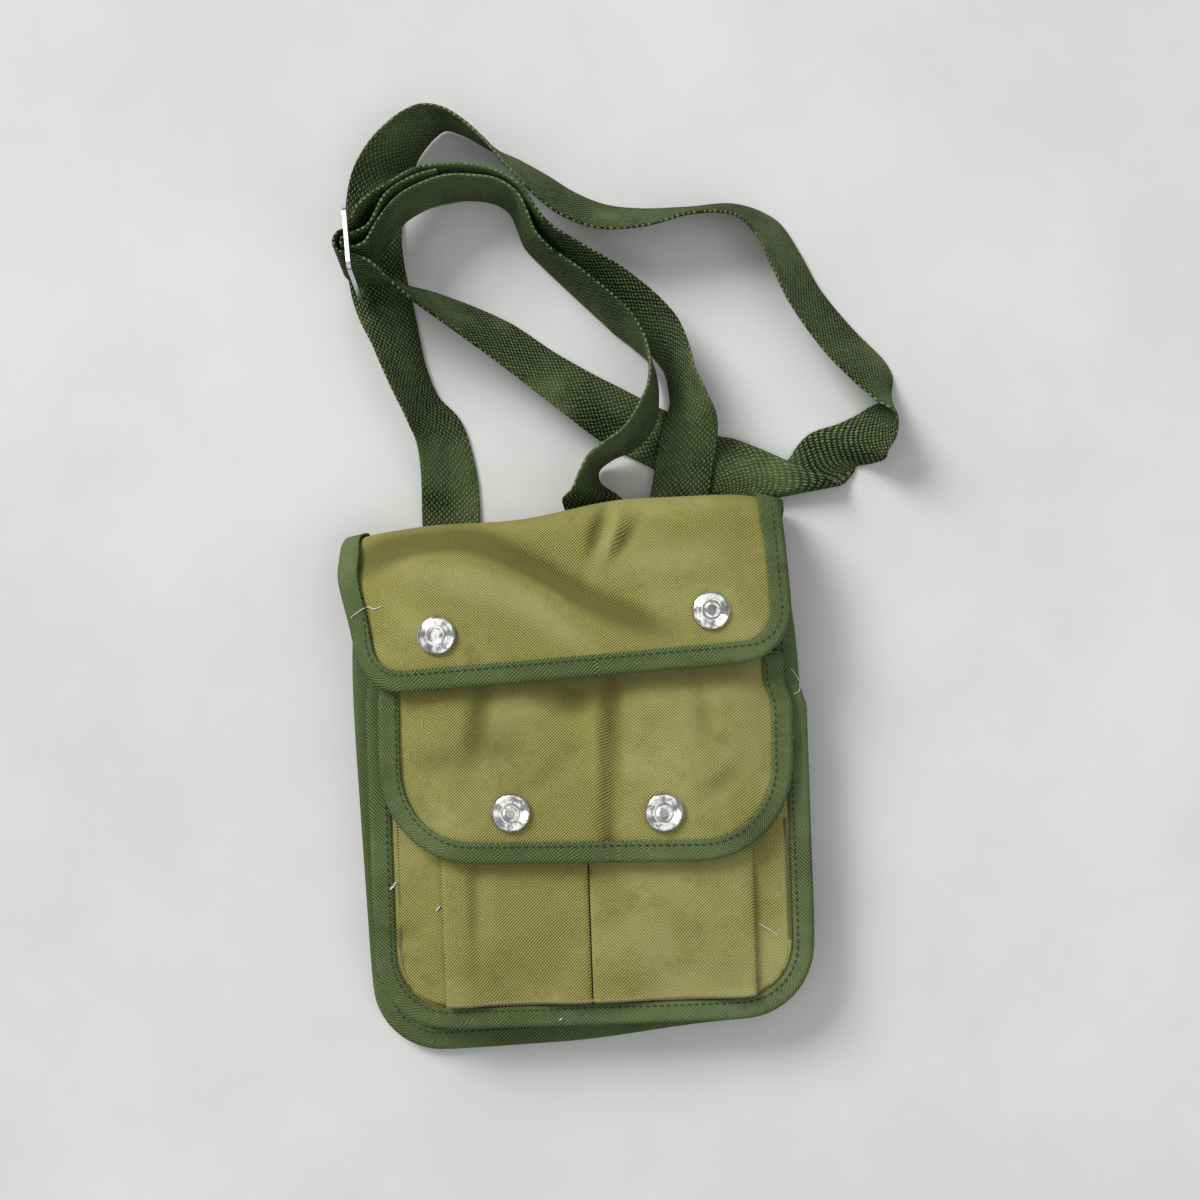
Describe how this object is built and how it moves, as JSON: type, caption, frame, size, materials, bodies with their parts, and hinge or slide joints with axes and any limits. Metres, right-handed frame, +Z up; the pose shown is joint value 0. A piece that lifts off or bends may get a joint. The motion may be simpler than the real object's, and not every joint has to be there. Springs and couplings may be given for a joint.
{
  "type": "canvas accessory pouch with shoulder strap",
  "caption": "Flat canvas pouch with a closed main flap, a pocket flap over pleated front pockets, taped edges, snap fasteners and a long webbing strap with a slide.",
  "frame": {"origin": "middle of the footprint, on the floor that the pouch lies on", "axes": "+Z up off the floor, +Y from the pouch's bottom towards its top and the heaped strap, +X to the right as seen from above"},
  "size_m": [0.2384, 0.4032, 0.0405],
  "materials": {
    "canvas": "matte",
    "tape": "matte",
    "webbing": "matte",
    "nickel": "polished"
  },
  "bodies": {
    "root": {"back_and_flap": "canvas", "front_panel": "canvas", "gusset": "canvas", "left_pocket": "canvas", "right_pocket": "canvas", "pocket_flap": "canvas", "main_flap_binding": "tape", "pocket_flap_binding": "tape", "back_seam_binding": "tape", "front_seam_binding": "tape", "upper_left_snap_cap": "nickel", "upper_right_snap_cap": "nickel", "lower_left_snap_cap": "nickel", "lower_right_snap_cap": "nickel", "upper_left_snap_stud": "nickel", "upper_right_snap_stud": "nickel", "lower_left_snap_stud": "nickel", "lower_right_snap_stud": "nickel", "shoulder_strap": "webbing", "strap_slide": "nickel", "strap_keeper": "nickel"}
  },
  "joints": []
}
